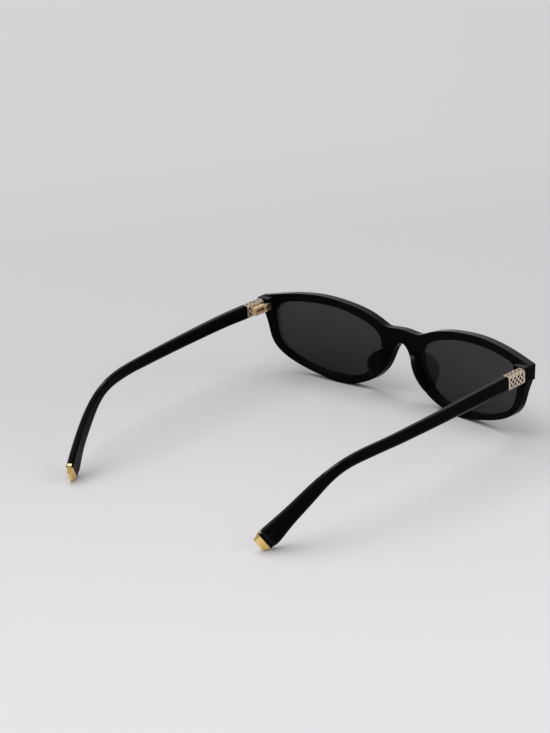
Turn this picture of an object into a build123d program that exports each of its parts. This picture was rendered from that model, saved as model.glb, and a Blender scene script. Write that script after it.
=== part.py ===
from build123d import *
import math
import os

# Narrow rectangle sunglasses, open, resting on the rims' lowest points and the two temple tips.
# Millimetres. +Z is up, the front faces -Y, the temples run back to +Y and +X is the wearer's left.
# The origin is the middle of the footprint, on the surface the glasses rest on.

# Front: two openings, the bridge between them and the rims round them
lens_width = 53.4
lens_height = 28.8
bridge_width = 20.8
end_reach = 6.2
top_rim = 3.25
bottom_rim = 3.2
front_thickness = 3.7
front_radius = 326.0
front_tilt = 5.7

# Lens and the groove that holds it
lens_thickness = 1.8
lens_setback = 1.1
groove_depth = 0.6
groove_width = 0.9
lens_clearance = 0.04

# End block behind each outer corner of the front, where the temple butts
end_block_width = 5.6
end_block_depth = 2.45
end_block_bite = 2.8
butt_gap = 0.1

# Nose pads, bonded to the back of the rims
pad_depth = 6.6
pad_seat = 1.2
pad_edge = 0.95

# Temple: a bevelled bar that hugs the head, bends down behind the ear and flares to its tip
# Its drops and turns are in degrees, as are the front's tilt and the outline's end fall and rise
temple_length = 137.2
straight_run = 12.0
settle_run = 30.0
hug_start = 74.0
ear_bend_middle = 100.0
ear_bend_run = 40.5
settle_drop = 2.2
ear_drop = 33.75
hug_turn = 4.6
tip_turn = 29.5
temple_step = 0.3
temple_height_front = 5.7
temple_height_cheek = 5.3
temple_height_ear = 4.05
temple_height_tip = 7.5
temple_thick_front = 3.4
temple_thick_ear = 2.6
temple_thick_tip = 2.9
top_bevel = 0.7
bottom_bevel = 0.4

# Core wire inside each temple
wire_height = 1.6
wire_thick = 0.8
wire_end_gap = 19.2

# Pierced sleeve round each temple's front end
band_length = 9.8
band_skin = 0.4
band_border = 0.45
band_rail = 0.55
band_gap = 0.1
lattice_bar = 0.36
lattice_columns = 4
lattice_rows = 2

# Hinge: a fork on the temple, a tongue on the front and one upright screw
pivot_inset = 0.9
pivot_setback = 0.4
knuckle_radius = 1.15
leaf_thick = 1.8
leaf_height = 3.4
leaf_rise = 0.7
leaf_length = 6.6
leaf_root = 0.6
fork_slot = 1.3
fork_heel = 0.7
slot_play = 0.1
screw_radius = 0.55
screw_play = 0.05
head_radius = 0.85
head_depth = 0.45
driver_slot = 0.22
plate_thick = 1.0
plate_inset = 1.3
plate_reach = 1.2
pocket_gap = 0.3
rivet_radius = 0.3
rivet_head_radius = 0.5
rivet_head_height = 0.3
rivet_depth = 0.8
rivet_spacing = 2.3

# Faceted cap on each temple tip
cap_collar = 1.0
cap_taper = 2.9
cap_stud_length = 3.0
cap_stud_radius = 0.7
cap_end_height = 5.6
cap_end_thick = 1.1
cap_end_drop = 1.0
cap_end_bevel = 0.25

overrun = 2.0
run_steps = 280
temple_stations = 14
wire_stations = 10

# Half of the front's outline, as shares of the half width and of the front's height: the brow and
# the nose arch from the middle outwards, the cheek from the lowest point up to the end piece
brow_shares = [(0.0, 0.825), (0.071, 0.815), (0.120, 0.812), (0.166, 0.846), (0.237, 0.903),
               (0.343, 0.955), (0.471, 0.988), (0.6, 1.0), (0.714, 0.985), (0.829, 0.953),
               (0.95, 0.903), (1.0, 0.881)]
nose_shares = [(0.0, 0.661), (0.032, 0.630), (0.058, 0.557), (0.083, 0.439), (0.117, 0.311),
               (0.165, 0.205), (0.226, 0.118), (0.299, 0.053), (0.371, 0.012), (0.443, 0.0)]
cheek_shares = [(0.443, 0.0), (0.543, 0.018), (0.663, 0.068), (0.806, 0.163), (0.878, 0.249),
                (0.926, 0.359), (0.948, 0.479), (0.967, 0.598), (0.985, 0.690)]
end_low_share = 0.707
brow_end_fall = 12.5
cheek_end_rise = 73.0
# The wearer's left opening, as shares of half its width and half its height from its centre
opening_shares = [(1.0, 0.35), (0.975, 0.63), (0.87, 0.80), (0.70, 0.90), (0.45, 0.965), (0.18, 0.995),
                  (-0.12, 0.98), (-0.40, 0.905), (-0.62, 0.80), (-0.84, 0.64), (-0.96, 0.45), (-1.0, 0.18),
                  (-0.965, -0.19), (-0.85, -0.51), (-0.67, -0.79), (-0.44, -0.955), (-0.19, -1.0),
                  (0.11, -0.97), (0.43, -0.85), (0.71, -0.645), (0.885, -0.41), (0.97, -0.06)]
# A pad's levels from low to high: height as a share of the opening's, the seat's two edges and
# the free edge from the middle as shares of the bridge's width, depth as a share of the pad's
pad_level_shares = [(0.13, 0.58, 0.74, 0.71, 0.33), (0.24, 0.435, 0.665, 0.675, 0.64),
                    (0.38, 0.325, 0.58, 0.63, 0.90), (0.50, 0.27, 0.50, 0.54, 0.85),
                    (0.60, 0.225, 0.40, 0.40, 0.45)]
pad_belly_share = 0.5

# Sizes worked out from the ones above
tilt_cos = math.cos(math.radians(front_tilt))
tilt_sin = math.sin(math.radians(front_tilt))
half_width = bridge_width / 2 + lens_width + end_reach
front_height = bottom_rim + lens_height + top_rim
lens_centre_x = bridge_width / 2 + lens_width / 2
lens_centre_height = bottom_rim + lens_height / 2
wire_end = temple_length - wire_end_gap


def smooth(share):
    """Eases from 0 to 1 with level ends."""
    held = min(1.0, max(0.0, share))
    return held * held * (3 - 2 * held)


def between(place, knots):
    """A value at a place along a list of (place, value) knots, straight from knot to knot."""
    for (start, low), (end, high) in zip(knots, knots[1:]):
        if place <= end:
            return low + (high - low) * max(0.0, place - start) / (end - start)
    return knots[-1][1]


def temple_turn(run):
    """How far the temple has turned inwards, in degrees, at a run along it."""
    return between(run, [(straight_run, 0.0), (hug_start, hug_turn), (temple_length, tip_turn)])


def temple_drop(run):
    """How steeply the temple falls, in degrees, at a run along it."""
    settle = settle_drop * smooth((run - straight_run) / (settle_run - straight_run))
    bend = smooth((run - ear_bend_middle) / ear_bend_run + 0.5)
    return settle + (ear_drop - settle_drop) * bend


def temple_direction(run):
    turn = math.radians(temple_turn(run))
    drop = math.radians(temple_drop(run))
    return Vector(-math.sin(turn) * math.cos(drop), math.cos(turn) * math.cos(drop), -math.sin(drop))


def temple_offset(run):
    """From the temple's front top outer corner to its top outer edge at a run along it."""
    step = run / run_steps
    place = Vector(0, 0, 0)
    for i in range(run_steps):
        place += temple_direction((i + 0.5) * step) * step
    return place


def temple_height(run):
    return between(run, [(band_length, temple_height_front), (settle_run, temple_height_cheek),
                         (ear_bend_middle, temple_height_ear), (temple_length, temple_height_tip)])


def temple_thick(run):
    return between(run, [(band_length, temple_thick_front), (hug_start, temple_thick_ear),
                         (ear_bend_middle, temple_thick_ear), (temple_length, temple_thick_tip)])


def back_sag(x):
    """How far the front's back face has curved back at a distance from the middle."""
    return front_radius - math.sqrt(front_radius * front_radius - x * x)


def outline_points(shares):
    """The points of one half of the front's outline."""
    return [(x * half_width, y * front_height) for x, y in shares]


def outline_curve(shares, end_rise):
    """A smooth curve through one half's points that starts level and ends at an angle in degrees."""
    end = Vector(1, 0).rotate(Axis.Z, end_rise)
    return Spline(*outline_points(shares), tangents=((1, 0), end), tangent_scalars=(1, 1))


# Heights of the end pieces, on the back face. The front is lifted so that its front lower edge meets
# the surface.
front_lift = (front_thickness - back_sag(half_width * cheek_shares[0][0])) * tilt_sin
end_lift = front_lift + back_sag(half_width) * tilt_sin
end_top_z = end_lift + front_height * brow_shares[-1][1] * tilt_cos
end_low_z = end_lift + front_height * end_low_share * tilt_cos
temple_top_z = end_top_z - temple_step

# Depths, with the origin midway between the brow's foremost point and the tips
junction_setback = back_sag(half_width) - end_low_z * tilt_sin / tilt_cos + end_block_depth
brow_lean = max(front_thickness + y * tilt_sin - back_sag(x) for x, y in outline_points(brow_shares))
slab_reach = front_thickness + back_sag(half_width)
temple_reach = junction_setback + butt_gap + temple_offset(temple_length + cap_collar + cap_taper).Y
front_y = (brow_lean - temple_reach) / 2
junction_y = front_y + junction_setback
temple_start = Vector(half_width, junction_y + butt_gap, temple_top_z)

# Front plane: X across, Y up the leaning front, Z forward. Plan plane: the same, seen from above.
front_plane = Plane(origin=(0, front_y, front_lift), x_dir=(1, 0, 0), z_dir=(0, -tilt_cos, -tilt_sin))
plan_plane = Plane(origin=(0, front_y, front_lift), x_dir=(1, 0, 0), z_dir=(0, -tilt_sin, tilt_cos))

# Hinge places, on the wearer's left
inner_face_x = half_width - temple_thick_front
pivot_x = inner_face_x - pivot_inset
pivot_y = temple_start.Y + pivot_setback
leaf_low_z = temple_top_z - temple_height_front + leaf_rise
leaf_top_z = leaf_low_z + leaf_height
leaf_mid_z = (leaf_low_z + leaf_top_z) / 2
leaf_back_y = pivot_y + leaf_length
root_x = inner_face_x + leaf_root
core_x = half_width - temple_thick_front / 2
core_z = temple_top_z - temple_height_front / 2
plate_inner_x = pivot_x - plate_reach
plate_outer_x = pivot_x + knuckle_radius
plate_mid_x = (plate_inner_x + plate_outer_x) / 2
plate_face_y = junction_y - plate_inset
plate_back_y = plate_face_y - plate_thick
groove_low = lens_setback + (lens_thickness - groove_width) / 2
tongue_height = fork_slot - 2 * slot_play


def curved_slab(low, high):
    """The curved layer between two depths, measured forward from the front's back face."""
    with BuildPart() as slab:
        with BuildSketch(plan_plane.offset(-overrun)):
            with Locations((0, front_radius)):
                Circle(front_radius + high)
                Circle(front_radius + low, mode=Mode.SUBTRACT)
        extrude(amount=front_height + 2 * overrun)
    return slab.part


def lens_layer(grow, low, high):
    """The left opening's shape, grown all round, between two depths of the front."""
    points = [(lens_centre_x + x * (lens_width / 2 + grow),
               lens_centre_height + y * (lens_height / 2 + grow)) for x, y in opening_shares]
    with BuildPart() as layer:
        with BuildSketch(front_plane.offset(-slab_reach)):
            with BuildLine():
                Spline(*points, periodic=True)
            make_face()
        extrude(amount=2 * slab_reach, clean=False)
        add(curved_slab(low, high), mode=Mode.INTERSECT, clean=False)
    return layer.part


def temple_plane(run):
    """Square to the temple at a run along it: X outwards, Y down, on its top outer edge."""
    turn = math.radians(temple_turn(run))
    return Plane(origin=temple_start + temple_offset(run), x_dir=(math.cos(turn), math.sin(turn), 0),
                 z_dir=temple_direction(run))


def bar(height, thick, inset=0, mode=Mode.ADD):
    """The temple's bevelled section, hanging from the plane's origin, drawn in by an inset."""
    inner, outer, top, low = inset - thick, -inset, inset, height - inset
    return Polygon((outer - top_bevel, top), (outer, top + top_bevel), (outer, low - bottom_bevel),
                   (outer - bottom_bevel, low), (inner + bottom_bevel, low), (inner, low - bottom_bevel),
                   (inner, top + top_bevel), (inner + top_bevel, top), align=None, mode=mode)


def lattice(length, height, columns, rows):
    """Diamond windows between crossing bars, cut off square round the edge."""
    half_column = length / columns / 2
    half_row = height / rows / 2
    open_share = 1 - lattice_bar * math.hypot(half_column, half_row) / (2 * half_column * half_row)
    across = half_column * open_share
    up = half_row * open_share
    for extra in (0, 1):
        with GridLocations(2 * half_column, 2 * half_row, columns + extra, rows + extra):
            Polygon((across, 0), (0, up), (-across, 0), (0, -up))
    Rectangle(length, height, mode=Mode.INTERSECT)


# Rivets that hold the hinge's front leaf, driven forward into the end piece
with BuildPart() as front_rivets_left:
    for rise in (-rivet_spacing / 2, rivet_spacing / 2):
        with BuildSketch(Plane.XZ.offset(-plate_face_y)):
            with Locations((plate_mid_x, leaf_mid_z + rise)):
                Circle(rivet_radius)
        extrude(amount=plate_thick + rivet_depth)
        with BuildSketch(Plane.XZ.offset(-plate_face_y)):
            with Locations((plate_mid_x, leaf_mid_z + rise)):
                Circle(rivet_head_radius)
        extrude(amount=-rivet_head_height, taper=30)

# Front frame: one curved slab of acetate with both openings, the end blocks and the hinge pockets.
# The left half is made first, then joined to its mirror image.
with BuildPart() as front_half:
    with BuildSketch(front_plane.offset(-slab_reach)):
        with BuildLine():
            brow = outline_curve(brow_shares, -brow_end_fall)
            cheek = outline_curve(cheek_shares, cheek_end_rise)
            nose = outline_curve(nose_shares, 0)
            Polyline(cheek @ 1, (half_width, front_height * end_low_share), brow @ 1)
            Line(nose @ 0, brow @ 0)
        make_face()
    extrude(amount=2 * slab_reach, clean=False)
    add(curved_slab(0, front_thickness), mode=Mode.INTERSECT, clean=False)
    add(lens_layer(0, -overrun, front_thickness + overrun), mode=Mode.SUBTRACT, clean=False)
    add(lens_layer(groove_depth, groove_low, groove_low + groove_width), mode=Mode.SUBTRACT, clean=False)
    with BuildSketch(Plane.XZ.offset(-junction_y)):
        with Locations((half_width - end_block_width / 2, (end_top_z + end_low_z) / 2)):
            Rectangle(end_block_width, end_top_z - end_low_z)
    extrude(amount=end_block_depth + end_block_bite, clean=False)
    with BuildSketch(Plane.XZ.offset(-junction_y - overrun)):
        with Locations((plate_mid_x, leaf_mid_z)):
            Rectangle(plate_outer_x - plate_inner_x + 2 * pocket_gap, leaf_height + 2 * pocket_gap)
    extrude(amount=junction_y + overrun - plate_back_y, mode=Mode.SUBTRACT, clean=False)
    add(front_rivets_left.part, mode=Mode.SUBTRACT, clean=False)
with BuildPart() as front_frame:
    add(front_half.part)
    add(front_half.part.mirror(Plane.YZ), clean=False)
front_frame.part.label = "front_frame"

# Lens: a curved blank whose stepped edge sits in the rim's groove
with BuildPart() as lens_left:
    add(lens_layer(-lens_clearance, lens_setback, lens_setback + lens_thickness))
    add(lens_layer(groove_depth - lens_clearance, groove_low + lens_clearance,
                   groove_low + groove_width - lens_clearance), clean=False)

# Nose pad: a smooth fin that splays out and back from the rim's nasal side
with BuildPart() as nose_pad_left:
    for height_share, inner_share, outer_share, free_share, depth_share in pad_level_shares:
        inner = inner_share * bridge_width
        outer = outer_share * bridge_width
        free = free_share * bridge_width
        depth = depth_share * pad_depth
        with BuildSketch(plan_plane.offset(bottom_rim + height_share * lens_height)):
            with BuildLine():
                Spline((inner, back_sag(inner)),
                       ((inner + free - pad_edge) / 2, depth * pad_belly_share),
                       (free - pad_edge / 2, depth), (free + pad_edge / 2, depth - pad_edge / 2),
                       ((outer + free + pad_edge) / 2, depth * pad_belly_share - pad_edge / 2),
                       (outer, back_sag(outer)), ((inner + outer) / 2, -pad_seat), periodic=True)
            make_face()
    loft()
    add(curved_slab(0, front_thickness + overrun), mode=Mode.SUBTRACT)

# Core wire: welded to the hinge's lug, running inside the temple to past the ear bend
with BuildPart() as core_wire_left:
    wire_start = leaf_back_y - temple_start.Y
    for i in range(wire_stations + 1):
        run = wire_start + (wire_end - wire_start) * i / wire_stations
        with BuildSketch(temple_plane(run)):
            with Locations((-temple_thick(run) / 2, temple_height(run) / 2)):
                Rectangle(wire_thick, wire_height)
    loft()

# Cap on the tip: a collar flush with the temple, then facets that close in to a narrow end
with BuildPart() as tip_cap_left:
    with BuildSketch(temple_plane(temple_length)):
        bar(temple_height_tip, temple_thick_tip)
    extrude(amount=cap_collar)
    with BuildSketch(temple_plane(temple_length).offset(cap_collar)):
        bar(temple_height_tip, temple_thick_tip)
    with BuildSketch(temple_plane(temple_length).offset(cap_collar + cap_taper)):
        with Locations((-temple_thick_tip / 2, cap_end_drop + cap_end_height / 2)):
            end_face = Rectangle(cap_end_thick, cap_end_height)
            chamfer(end_face.vertices(), cap_end_bevel)
    loft(ruled=True)
    with BuildSketch(temple_plane(temple_length)):
        with Locations((-temple_thick_tip / 2, temple_height_tip / 2)):
            Circle(cap_stud_radius)
    extrude(amount=-cap_stud_length)

# Hinge's temple leaf: two knuckles and a slotted plate let into the temple's inner face
with BuildPart() as hinge_temple_leaf_left:
    with BuildSketch(Plane.XY.offset(leaf_low_z)):
        with Locations(((pivot_x - leaf_thick / 2 + root_x) / 2, (pivot_y + leaf_back_y) / 2)):
            Rectangle(root_x - pivot_x + leaf_thick / 2, leaf_length)
        with Locations((pivot_x, pivot_y)):
            Circle(knuckle_radius)
    extrude(amount=leaf_height)
    with BuildSketch(Plane.XY.offset(leaf_mid_z - fork_slot / 2)):
        with Locations((pivot_x, leaf_back_y - fork_heel - leaf_length / 2 - overrun)):
            Rectangle(2 * (root_x - pivot_x) + overrun, leaf_length + 2 * overrun)
    extrude(amount=fork_slot, mode=Mode.SUBTRACT)
    with BuildSketch(Plane.XY.offset(core_z - wire_height / 2)):
        with Locations(((root_x + core_x + wire_thick / 2) / 2, leaf_back_y - fork_heel / 2)):
            Rectangle(core_x + wire_thick / 2 - root_x, fork_heel)
    extrude(amount=wire_height)
    with Locations((pivot_x, pivot_y, leaf_top_z)):
        CounterBoreHole(screw_radius, head_radius, head_depth)

# Temple: the bare core inside the pierced sleeve, then the full bevelled bar
with BuildPart() as temple_left:
    for i in range(temple_stations + 1):
        run = band_length + (temple_length - band_length) * i / temple_stations
        with BuildSketch(temple_plane(run)):
            bar(temple_height(run), temple_thick(run))
    loft()
    with BuildSketch(temple_plane(0)):
        bar(temple_height_front, temple_thick_front, band_skin)
    extrude(amount=band_length)
    with BuildSketch(Plane.XY.offset(leaf_low_z)):
        with Locations((inner_face_x, (temple_start.Y - overrun + leaf_back_y) / 2)):
            Rectangle(2 * leaf_root, leaf_back_y - temple_start.Y + overrun)
    extrude(amount=leaf_height, mode=Mode.SUBTRACT)
    add(hinge_temple_leaf_left.part, mode=Mode.SUBTRACT)
    add(core_wire_left.part, mode=Mode.SUBTRACT)
    add(tip_cap_left.part, mode=Mode.SUBTRACT)

# Sleeve: a thin trellis of crossing bars round the temple's front end, open over the hinge leaf
with BuildPart() as temple_band_left:
    with BuildSketch(temple_plane(0)):
        bar(temple_height_front, temple_thick_front)
        bar(temple_height_front, temple_thick_front, band_skin, Mode.SUBTRACT)
    extrude(amount=band_length)
    band_mid_y = temple_start.Y + band_length / 2
    window_length = band_length - 2 * band_border
    with BuildSketch(Plane(origin=(core_x, band_mid_y, core_z), x_dir=(0, 1, 0), z_dir=(1, 0, 0))):
        lattice(window_length, temple_height_front - 2 * band_rail, lattice_columns, lattice_rows)
    extrude(amount=temple_thick_front, both=True, mode=Mode.SUBTRACT)
    with BuildSketch(Plane(origin=(core_x, band_mid_y, core_z), x_dir=(0, 1, 0), z_dir=(0, 0, 1))):
        lattice(window_length, temple_thick_front - 2 * band_rail, lattice_columns, 1)
    extrude(amount=temple_height_front, both=True, mode=Mode.SUBTRACT)
    with BuildSketch(Plane.XY.offset(leaf_low_z - band_gap)):
        with Locations((inner_face_x, (temple_start.Y - overrun + leaf_back_y + band_gap) / 2)):
            Rectangle(2 * leaf_root, leaf_back_y + band_gap - temple_start.Y + overrun)
    extrude(amount=leaf_height + 2 * band_gap, mode=Mode.SUBTRACT)

# Hinge's front leaf: a plate let into the end piece and the tongue between the two knuckles
with BuildPart() as hinge_front_leaf_left:
    with BuildSketch(Plane.XZ.offset(-plate_face_y)):
        with Locations((plate_mid_x, leaf_mid_z)):
            Rectangle(plate_outer_x - plate_inner_x, leaf_height)
    extrude(amount=plate_thick)
    with BuildSketch(Plane.XY.offset(leaf_mid_z - tongue_height / 2)):
        with Locations((pivot_x, (plate_back_y + pivot_y) / 2)):
            Rectangle(2 * knuckle_radius, pivot_y - plate_back_y)
        with Locations((pivot_x, pivot_y)):
            Circle(knuckle_radius)
            Circle(screw_radius + screw_play, mode=Mode.SUBTRACT)
    extrude(amount=tongue_height)
    add(front_rivets_left.part, mode=Mode.SUBTRACT)

# Hinge screw: a slotted head sunk in the upper knuckle, its shank through all three
with BuildPart() as hinge_screw_left:
    with BuildSketch(Plane.XY.offset(leaf_low_z)):
        with Locations((pivot_x, pivot_y)):
            Circle(screw_radius)
    extrude(amount=leaf_height)
    with BuildSketch(Plane.XY.offset(leaf_top_z)):
        with Locations((pivot_x, pivot_y)):
            Circle(head_radius)
    extrude(amount=-head_depth)
    with BuildSketch(Plane.XY.offset(leaf_top_z)):
        with Locations((pivot_x, pivot_y)):
            Rectangle(2 * head_radius, driver_slot)
    extrude(amount=-head_depth / 2, mode=Mode.SUBTRACT)

# Write the front, then each sided piece and its mirror image
os.makedirs("parts", exist_ok=True)
export_step(front_frame.part, "parts/front_frame.step")
left_pieces = {
    "lens": lens_left,
    "nose_pad": nose_pad_left,
    "front_rivets": front_rivets_left,
    "hinge_front_leaf": hinge_front_leaf_left,
    "hinge_temple_leaf": hinge_temple_leaf_left,
    "hinge_screw": hinge_screw_left,
    "temple": temple_left,
    "core_wire": core_wire_left,
    "temple_band": temple_band_left,
    "tip_cap": tip_cap_left,
}
for name, left in left_pieces.items():
    with BuildPart() as right:
        mirror(left.part, about=Plane.YZ)
    left.part.label = f"{name}_left"
    right.part.label = f"{name}_right"
    export_step(left.part, f"parts/{name}_left.step")
    export_step(right.part, f"parts/{name}_right.step")
print("hinge axis x, y:", pivot_x, pivot_y)
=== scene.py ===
"""Looks for the narrow rectangle sunglasses: materials, light, floor and camera."""
import math

import bpy
from mathutils import Matrix, Vector

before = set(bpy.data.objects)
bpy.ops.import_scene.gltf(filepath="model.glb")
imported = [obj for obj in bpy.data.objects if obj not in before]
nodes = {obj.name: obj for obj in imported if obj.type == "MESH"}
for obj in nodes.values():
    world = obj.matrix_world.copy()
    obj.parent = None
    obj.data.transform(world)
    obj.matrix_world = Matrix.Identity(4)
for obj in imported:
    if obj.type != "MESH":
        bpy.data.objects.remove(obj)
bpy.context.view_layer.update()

# The photograph's height in pixels, and the camera that was fitted to it, in degrees and metres
PHOTO_HEIGHT = 733
FOCAL_PX = 2400.12
SENSOR_MM = 36.0
CAMERA_AZIMUTH = 224.19
CAMERA_ELEVATION = 21.74
CAMERA_ROLL = -3.55
CAMERA_PLACE = Vector((-0.59210, 0.61447, 0.37662))
CAMERA_NEAR = 0.01

# Every smooth surface: its bump in metres, and how much finer than its tone its gloss and its bump are
SURFACE_BUMP = 0.000004
GLOSS_FINENESS = 4
BUMP_FINENESS = 10
NOISE_DETAIL = 3.0
BEVEL_SAMPLES = 6

# Black acetate: its tones, roughness and grain, the least shine that it keeps, the least that painted shade
# leaves of it, and the softening in metres with which its facing upwards is read
ACETATE_TONES = ((0.0030, 0.0030, 0.0034), (0.0052, 0.0052, 0.0058))
ACETATE_ROUGHNESS = (0.04, 0.08)
ACETATE_GRAIN = 60
LEAST_SHINE = 0.02
LEAST_PAINTED_SHADE = 0.06
TOP_ROUNDING = 0.0002

# Temple undersides with a painted floor reflection: their softening in metres, and how far down they face
UNDERSIDE_ROUNDING = 0.002
UNDERSIDE_FACING = (-0.5, -0.02)

# The lens: its tones, and the heights in metres between which the first turns into the second, painting
# shade on its lower part
LENS_TONES = ((0.009, 0.0095, 0.0103), (0.037, 0.039, 0.041))
LENS_SHADE_HEIGHTS = (0.004, 0.031)
LENS_ROUGHNESS = (0.0, 0.02)
LENS_GRAIN = 30
LENS_ROUNDING = 0.00015
LENS_SPECULAR = 0.2
LENS_INDEX = 1.35
LENS_CLEARNESS = 0.9

# Each metal: its two tones, how metallic it is, its least and most roughness, and its grain
METALS = {
    "pale_gold": ((0.82, 0.70, 0.55), (0.90, 0.78, 0.63), 0.7, (0.22, 0.32), 300),
    "hinge_gold": ((0.90, 0.65, 0.38), (0.96, 0.72, 0.44), 0.4, (0.36, 0.48), 500),
    # Painted shade: the hinge gold darkened, for the front hinge leaf that sits in the end block's shade
    "shaded_gold": ((0.34, 0.26, 0.15), (0.42, 0.32, 0.19), 1.0, (0.20, 0.30), 500),
    "rivet_metal": ((0.72, 0.68, 0.60), (0.82, 0.78, 0.70), 1.0, (0.18, 0.30), 600),
    "core_steel": ((0.50, 0.50, 0.50), (0.58, 0.58, 0.58), 1.0, (0.25, 0.35), 400),
}
METAL_ROUNDING = 0.0001

# The tip caps: their tones, roughness and grain, and the black of their collar
CAP_TONES = ((0.94, 0.65, 0.24), (1.0, 0.71, 0.29))
CAP_ROUGHNESS = (0.14, 0.22)
CAP_GRAIN = 300
COLLAR_BLACK = (0.002, 0.002, 0.002, 1)
COLLAR_SPECULAR = 0.05

# The way the left temple's tip points, where along it the gold begins and is full, and how far up
# the collar faces where the painted highlight of gold on its top begins and is full
TIP_DIRECTION = (-0.409, 0.724, -0.556)
GOLD_PLACES = (0.02676, 0.02686)
PAINTED_HIGHLIGHT_FACING = (0.68, 0.76)

# The way along the table towards the camera, the table's tones at metres along it, which paint its light
# and shade, and its tint
TABLE_WAY = (-0.697, 0.717, 0)
TABLE_PAINTED_LIGHT = ((-0.75, 0.632), (-0.42, 0.623), (-0.27, 0.590), (-0.09, 0.603), (0.05, 0.712), (0.20, 0.773))
TABLE_TINT = (1.013, 0.992, 1.024)
TABLE_SIZE = 12
TABLE_ROUGHNESS = 0.6
TABLE_SPECULAR = 0.15
TABLE_GRAIN = 900
TABLE_BUMP = 0.00002

# Each lamp, which points at the part: its place and its two sides in metres, and its power in watts
LAMPS = {
    "overhead_softbox": ((1.1, 0.3, 3.2), (4.4, 3.6), 104),
    "side_fill": ((-2.8, -1.2, 2.2), (1.6, 1.6), 12),
}
WORLD_STRENGTH = 0.4


class Material:
    """A node material and short ways to add nodes to it."""

    def __init__(self, name):
        self.material = bpy.data.materials.new(name)
        self.material.use_nodes = True
        self.tree = self.material.node_tree
        self.shader = next(n for n in self.tree.nodes if n.type == "BSDF_PRINCIPLED")
        self.coordinate = self.tree.nodes.new("ShaderNodeTexCoord")

    def set(self, socket, value):
        """Gives one of the shader's sockets a fixed value."""
        self.shader.inputs[socket].default_value = value

    def link(self, source, target):
        self.tree.links.new(source, target)

    def drive(self, socket, source):
        """Feeds one of the shader's sockets from another node."""
        self.link(source, self.shader.inputs[socket])

    def noise(self, scale):
        """Soft noise over the piece, finer as the scale grows."""
        node = self.tree.nodes.new("ShaderNodeTexNoise")
        node.inputs["Scale"].default_value = scale
        node.inputs["Detail"].default_value = NOISE_DETAIL
        self.link(self.coordinate.outputs["Object"], node.inputs["Vector"])
        return node.outputs["Fac"]

    def ramp(self, factor, low, high, start=0.3, end=0.7):
        """A colour that goes from low to high as the factor goes from start to end."""
        node = self.tree.nodes.new("ShaderNodeValToRGB")
        node.color_ramp.elements[0].position = start
        node.color_ramp.elements[1].position = end
        node.color_ramp.elements[0].color = (*low, 1)
        node.color_ramp.elements[1].color = (*high, 1)
        self.link(factor, node.inputs["Fac"])
        return node.outputs["Color"]

    def spread(self, factor, low, high, start=0.0, end=1.0):
        """A number that goes from low to high as the factor goes from start to end."""
        node = self.tree.nodes.new("ShaderNodeMapRange")
        node.inputs["From Min"].default_value = start
        node.inputs["From Max"].default_value = end
        node.inputs["To Min"].default_value = low
        node.inputs["To Max"].default_value = high
        self.link(factor, node.inputs["Value"])
        return node.outputs["Result"]

    def along(self, direction):
        """The distance in metres along a direction from the piece's origin."""
        node = self.tree.nodes.new("ShaderNodeVectorMath")
        node.operation = "DOT_PRODUCT"
        node.inputs[1].default_value = direction
        self.link(self.coordinate.outputs["Object"], node.inputs[0])
        return node.outputs["Value"]

    def glancing(self):
        """0 where the surface is seen square on, towards 1 where it is seen edge on."""
        node = self.tree.nodes.new("ShaderNodeLayerWeight")
        node.inputs["Blend"].default_value = 0.5
        return node.outputs["Facing"]

    def rounded(self, radius):
        """The surface's direction with its edges softened."""
        edge = self.tree.nodes.new("ShaderNodeBevel")
        edge.samples = BEVEL_SAMPLES
        edge.inputs["Radius"].default_value = radius
        return edge.outputs["Normal"]

    def upward(self, radius):
        """The upward part of the softened surface's direction, 1 where it faces straight up."""
        parts = self.tree.nodes.new("ShaderNodeSeparateXYZ")
        self.link(self.rounded(radius), parts.inputs["Vector"])
        return parts.outputs["Z"]

    def both(self, operation, first, second):
        """Two numbers put together by one operation."""
        node = self.tree.nodes.new("ShaderNodeMath")
        node.operation = operation
        self.link(first, node.inputs[0])
        self.link(second, node.inputs[1])
        return node.outputs["Value"]

    def bump(self, height, distance, rounding=None):
        """A slight unevenness, over softened edges where a rounding is given."""
        node = self.tree.nodes.new("ShaderNodeBump")
        node.inputs["Distance"].default_value = distance
        self.link(height, node.inputs["Height"])
        if rounding:
            self.link(self.rounded(rounding), node.inputs["Normal"])
        self.drive("Normal", node.outputs["Normal"])


def smooth(name, metallic, roughness, grain, rounding, specular=0.5, index=1.45, clear=0.0):
    """A smooth surface with faint changes of gloss, and softened edges."""
    made = Material(name)
    made.set("Metallic", metallic)
    made.set("Specular IOR Level", specular)
    made.set("IOR", index)
    made.set("Transmission Weight", clear)
    made.drive("Roughness", made.spread(made.noise(grain * GLOSS_FINENESS), *roughness))
    made.bump(made.noise(grain * BUMP_FINENESS), SURFACE_BUMP, rounding)
    return made


def polished(name, low, high, metallic, roughness, grain, rounding):
    """A smooth surface with faint changes of tone too."""
    made = smooth(name, metallic, roughness, grain, rounding)
    made.drive("Base Color", made.ramp(made.noise(grain), low, high))
    return made


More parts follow.
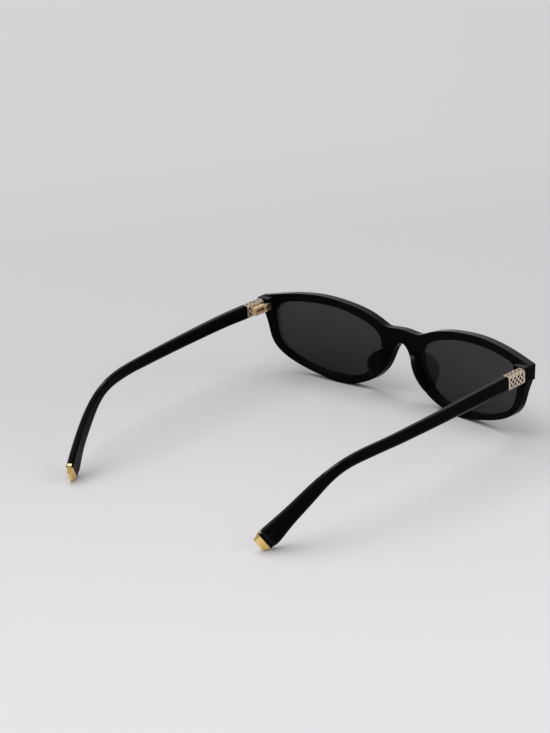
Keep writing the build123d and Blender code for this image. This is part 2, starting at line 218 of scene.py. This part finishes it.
def black_acetate(name, rounding, glance=(0.42, 0.66), rise=(-0.2, 0.5), gloss=0.3, under=0.0):
    """Glossy black plastic, which shines most where it is seen edge on and faces upwards.

    The shine grows up to gloss, over the range glance of being seen edge on and the range rise of
    facing upwards; the rise with facing is a painted highlight on tops and painted shade on the sides,
    standing for the lamp overhead. A face that looks down shines by at least under, a painted
    reflection of the lit floor.
    """
    made = polished(name, *ACETATE_TONES, 0.0, ACETATE_ROUGHNESS, ACETATE_GRAIN, rounding)
    shine = made.spread(made.glancing(), LEAST_SHINE, gloss, *glance)
    # Painted highlight and shade: the shine stays full on faces that look up and is cut on the sides
    shade = made.spread(made.upward(TOP_ROUNDING), LEAST_PAINTED_SHADE, 1.0, *rise)
    level = made.both("MULTIPLY", shine, shade)
    # Painted reflection: faces that look down shine as if they mirrored the lit floor
    if under:
        painted_floor_reflection = made.spread(made.upward(UNDERSIDE_ROUNDING), under, 0.0, *UNDERSIDE_FACING)
        level = made.both("MAXIMUM", level, painted_floor_reflection)
    made.drive("Specular IOR Level", level)
    return made


def grey_lens():
    """Dark grey lens, lighter towards its top, with painted shade on its lower part."""
    made = smooth("grey_lens", 0.0, LENS_ROUGHNESS, LENS_GRAIN, LENS_ROUNDING,
                  specular=LENS_SPECULAR, index=LENS_INDEX, clear=LENS_CLEARNESS)
    made.drive("Base Color", made.ramp(made.along((0, 0, 1)), *LENS_TONES, *LENS_SHADE_HEIGHTS))
    return made


def gold_cap(name, direction):
    """Polished gold, with a collar at the temple's end that is black but for a painted highlight of gold on
    its top.
    """
    made = smooth(name, 1.0, CAP_ROUGHNESS, CAP_GRAIN, METAL_ROUNDING, specular=COLLAR_SPECULAR)
    end = made.spread(made.along(direction), 0, 1, *GOLD_PLACES)
    # Painted highlight: the collar's upward faces are coloured gold where the lamp overhead would glint
    top = made.spread(made.upward(METAL_ROUNDING), 0, 1, *PAINTED_HIGHLIGHT_FACING)
    gold_and_painted_highlight = made.both("MAXIMUM", end, top)
    coat = made.tree.nodes.new("ShaderNodeMix")
    coat.data_type = "RGBA"
    coat.inputs["A"].default_value = COLLAR_BLACK
    made.link(made.ramp(made.noise(CAP_GRAIN), *CAP_TONES), coat.inputs["B"])
    made.link(gold_and_painted_highlight, coat.inputs["Factor"])
    made.drive("Base Color", coat.outputs["Result"])
    made.drive("Metallic", gold_and_painted_highlight)
    return made


metals = {name: polished(name, *look, METAL_ROUNDING) for name, look in METALS.items()}

looks = {
    "front_frame": black_acetate("black_acetate", 0.00035),
    "temple": black_acetate("bar_acetate", 0.0005, glance=(0.36, 0.6), rise=(0.0, 0.5), gloss=0.5,
                            under=0.25),
    "nose_pad": black_acetate("pad_acetate", 0.0005, glance=(0.2, 0.5), rise=(0.3, 0.7), gloss=0.5),
    "lens": grey_lens(),
    "tip_cap_left": gold_cap("polished_gold_left", TIP_DIRECTION),
    "tip_cap_right": gold_cap("polished_gold_right", (-TIP_DIRECTION[0], *TIP_DIRECTION[1:])),
    "temple_band": metals["pale_gold"],
    # The front hinge leaf gets gold with painted shade
    "hinge_front_leaf": metals["shaded_gold"],
    "hinge_temple_leaf": metals["hinge_gold"],
    "hinge_screw": metals["rivet_metal"],
    "front_rivets": metals["rivet_metal"],
    "core_wire": metals["core_steel"],
}
for name, node in nodes.items():
    kind = name.replace("_left", "").replace("_right", "")
    node.data.materials.clear()
    node.data.materials.append(looks.get(name, looks.get(kind)).material)


def table_material():
    """A pale grey table with painted light and shade, lightest towards the camera."""
    made = Material("pale_table")
    made.set("Roughness", TABLE_ROUGHNESS)
    made.set("Specular IOR Level", TABLE_SPECULAR)
    first, last = TABLE_PAINTED_LIGHT[0][0], TABLE_PAINTED_LIGHT[-1][0]
    # Painted light and shade: the table's tone changes with distance along the way to the camera
    painted_light_sweep = made.tree.nodes.new("ShaderNodeValToRGB")
    stops = painted_light_sweep.color_ramp.elements
    while len(stops) < len(TABLE_PAINTED_LIGHT):
        stops.new(0.5)
    for stop, (place, tone) in zip(stops, TABLE_PAINTED_LIGHT):
        stop.position = (place - first) / (last - first)
        stop.color = (*(tone * part for part in TABLE_TINT), 1)
    made.link(made.spread(made.along(TABLE_WAY), 0, 1, first, last), painted_light_sweep.inputs["Fac"])
    made.drive("Base Color", painted_light_sweep.outputs["Color"])
    made.bump(made.noise(TABLE_GRAIN), TABLE_BUMP)
    return made.material


bpy.ops.mesh.primitive_plane_add(size=TABLE_SIZE, location=(0, 0, 0))
floor = bpy.context.object
floor.name = "table"
floor.data.materials.append(table_material())


def area_light(name, place, sides, power):
    """A rectangular lamp that points at the part."""
    data = bpy.data.lights.new(name, "AREA")
    data.shape = "RECTANGLE"
    data.size, data.size_y = sides
    data.energy = power
    light = bpy.data.objects.new(name, data)
    bpy.context.scene.collection.objects.link(light)
    light.location = place
    light.rotation_euler = (-Vector(place)).to_track_quat("-Z", "Y").to_euler()


for name, lamp in LAMPS.items():
    area_light(name, *lamp)

world = bpy.data.worlds.new("studio")
bpy.context.scene.world = world
world.use_nodes = True
background = next(n for n in world.node_tree.nodes if n.type == "BACKGROUND")
background.inputs["Color"].default_value = (1, 1, 1, 1)
background.inputs["Strength"].default_value = WORLD_STRENGTH


def photo_camera():
    """The camera in the place from which the photograph was taken."""
    data = bpy.data.cameras.new("camera")
    data.sensor_fit = "VERTICAL"
    data.sensor_height = SENSOR_MM
    data.lens = FOCAL_PX * SENSOR_MM / PHOTO_HEIGHT
    data.clip_start = CAMERA_NEAR
    camera = bpy.data.objects.new("camera", data)
    bpy.context.scene.collection.objects.link(camera)
    azimuth, elevation, roll = (math.radians(a) for a in (CAMERA_AZIMUTH, CAMERA_ELEVATION, CAMERA_ROLL))
    back = Vector((math.sin(azimuth) * math.cos(elevation), -math.cos(azimuth) * math.cos(elevation),
                   math.sin(elevation)))
    level = (-back).cross(Vector((0, 0, 1))).normalized()
    upright = level.cross(-back)
    across = math.cos(roll) * level + math.sin(roll) * upright
    up = math.cos(roll) * upright - math.sin(roll) * level
    turn = Matrix((across, up, back)).transposed().to_4x4()
    camera.matrix_world = Matrix.Translation(CAMERA_PLACE) @ turn
    return camera


bpy.context.scene.camera = photo_camera()
bpy.context.scene.view_settings.view_transform = "Standard"
